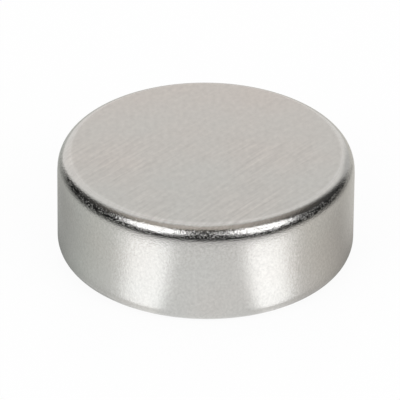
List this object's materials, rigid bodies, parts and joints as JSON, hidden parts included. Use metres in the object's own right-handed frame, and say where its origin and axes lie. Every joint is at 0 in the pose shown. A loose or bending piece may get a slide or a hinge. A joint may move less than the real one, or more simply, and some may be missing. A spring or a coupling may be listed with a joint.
{
  "type": "disc magnet",
  "caption": "Flat round permanent magnet with rounded edges and a satin nickel plating, for holding, latching or sensing against steel.",
  "frame": {"origin": "centre of the lower pole face, on the surface that the magnet lies on", "axes": "+Z along the disc's axis, which is its magnetic axis, from the lower pole face to the upper one"},
  "size_m": [0.008, 0.008, 0.003],
  "materials": {
    "nickel_plating": "satin nickel plating over ground faces, smoother on the tumbled edges"
  },
  "bodies": {
    "root": {"magnet": "nickel_plating"}
  },
  "joints": []
}
